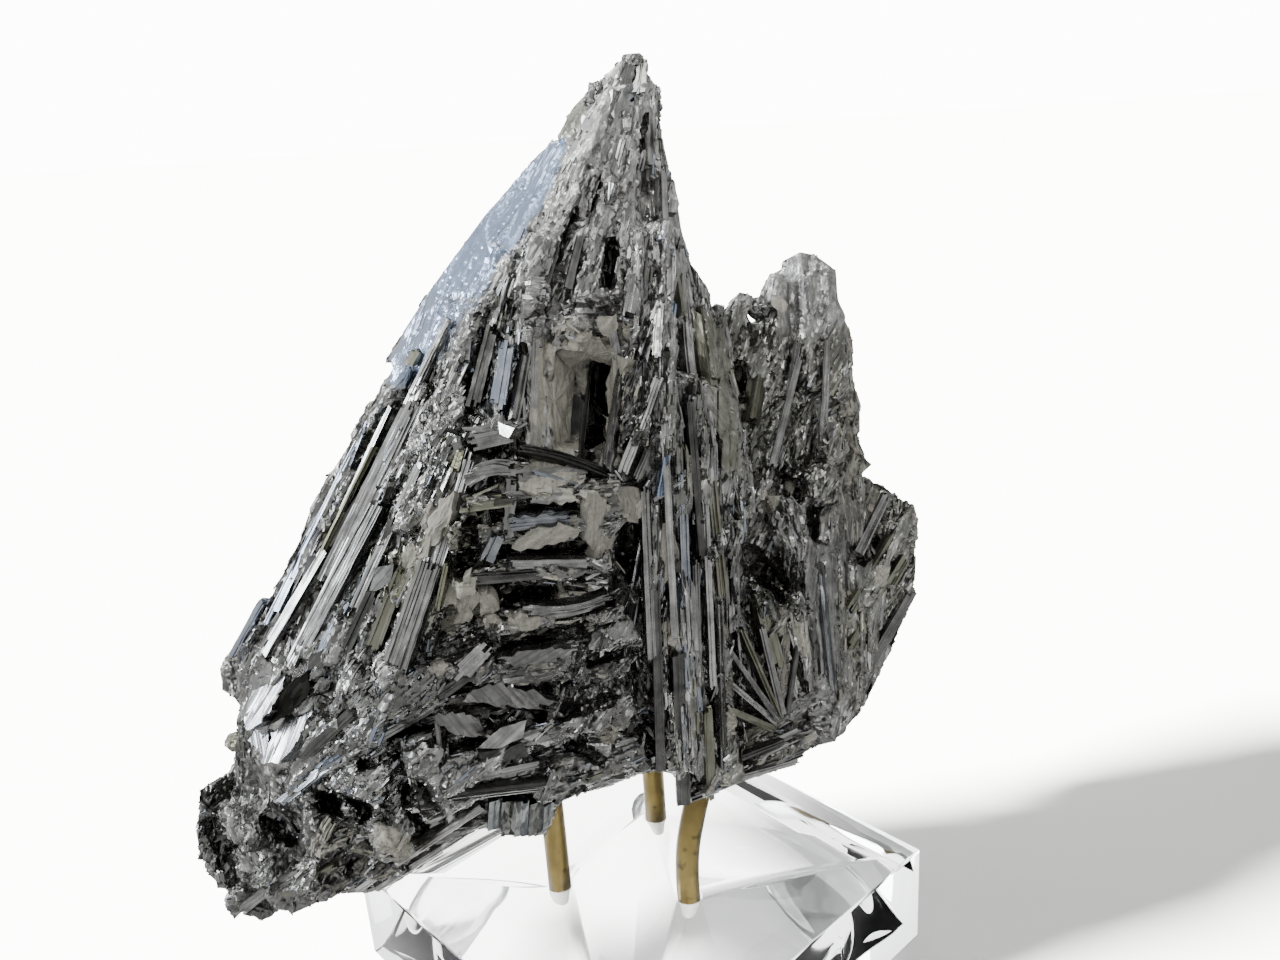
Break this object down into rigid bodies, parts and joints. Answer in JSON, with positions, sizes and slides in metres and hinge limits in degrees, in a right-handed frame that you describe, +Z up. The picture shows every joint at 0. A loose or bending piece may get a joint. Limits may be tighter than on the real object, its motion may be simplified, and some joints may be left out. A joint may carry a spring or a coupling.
{
  "type": "stibnite crystal cluster on a rod stand",
  "caption": "Jagged spray of intergrown metallic stibnite crystals held on brass rods over a clear square block with bumper feet.",
  "frame": {"origin": "middle of the footprint box, on the plane that the bumper feet stand on", "axes": "+Z up, the show face of the crystals looks towards -Y, and the acrylic block has one corner towards -Y"},
  "size_m": [0.098, 0.0802, 0.125],
  "materials": {
    "stibnite": "metallic grey, striated cleavage faces, dull crust in the hollows, faint blue and gold tarnish",
    "clear_acrylic": "polished clear",
    "brass": "dull drawn rod with dark tarnish spots",
    "clear_bumper": "clear soft moulded"
  },
  "bodies": {
    "root": {"stibnite_cluster": "stibnite", "acrylic_base": "clear_acrylic", "brass_rod_left": "brass", "brass_rod_back": "brass", "brass_rod_right": "brass", "bumper_foot_front": "clear_bumper", "bumper_foot_right": "clear_bumper", "bumper_foot_back": "clear_bumper", "bumper_foot_left": "clear_bumper"}
  },
  "joints": []
}
